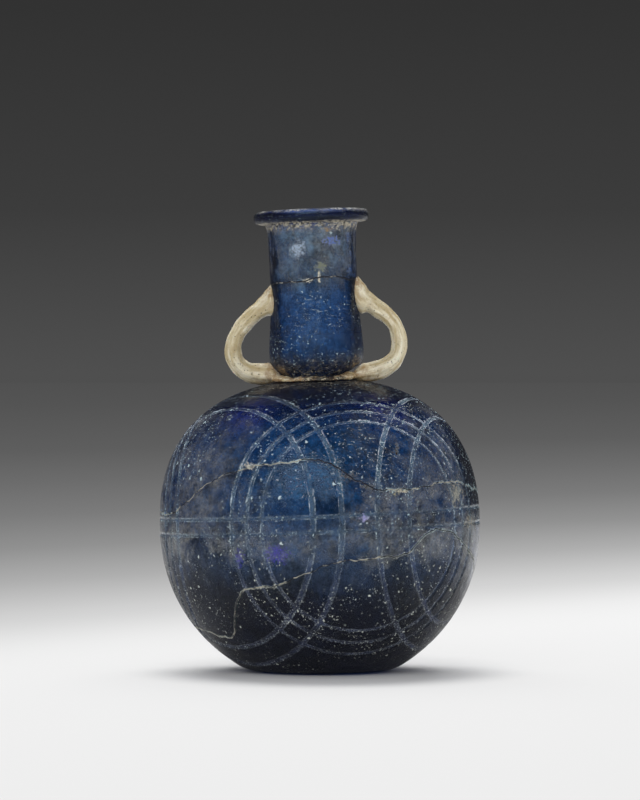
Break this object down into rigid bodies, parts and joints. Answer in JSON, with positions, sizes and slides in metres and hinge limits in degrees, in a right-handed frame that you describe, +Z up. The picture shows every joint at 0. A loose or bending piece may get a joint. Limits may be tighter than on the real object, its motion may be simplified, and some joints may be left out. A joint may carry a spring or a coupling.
{
  "type": "two-handled glass flask",
  "caption": "Globular blown-glass flask with a narrow neck, a rounded rim, trailed handles and wheel-cut rings, mended from shards.",
  "frame": {"origin": "on the table under the middle of the box, at the level of the resting ring", "axes": "+Z up, the handles to -X and +X, the pictured side towards -Y"},
  "size_m": [0.1048, 0.1048, 0.1511],
  "materials": {
    "blue_glass": "clear, weathered, wheel-cut",
    "cream_glass": "opaque, glossy, pitted",
    "aged_resin": "matt, yellowed"
  },
  "bodies": {
    "root": {"bowl_shard": "blue_glass", "belly_shard": "blue_glass", "shoulder_shard": "blue_glass", "upper_neck_shard": "blue_glass", "handle_left": "cream_glass", "handle_right": "cream_glass", "neck_foot_thread": "cream_glass", "lower_seam_resin": "aged_resin", "upper_seam_resin": "aged_resin", "neck_seam_resin": "aged_resin"}
  },
  "joints": []
}
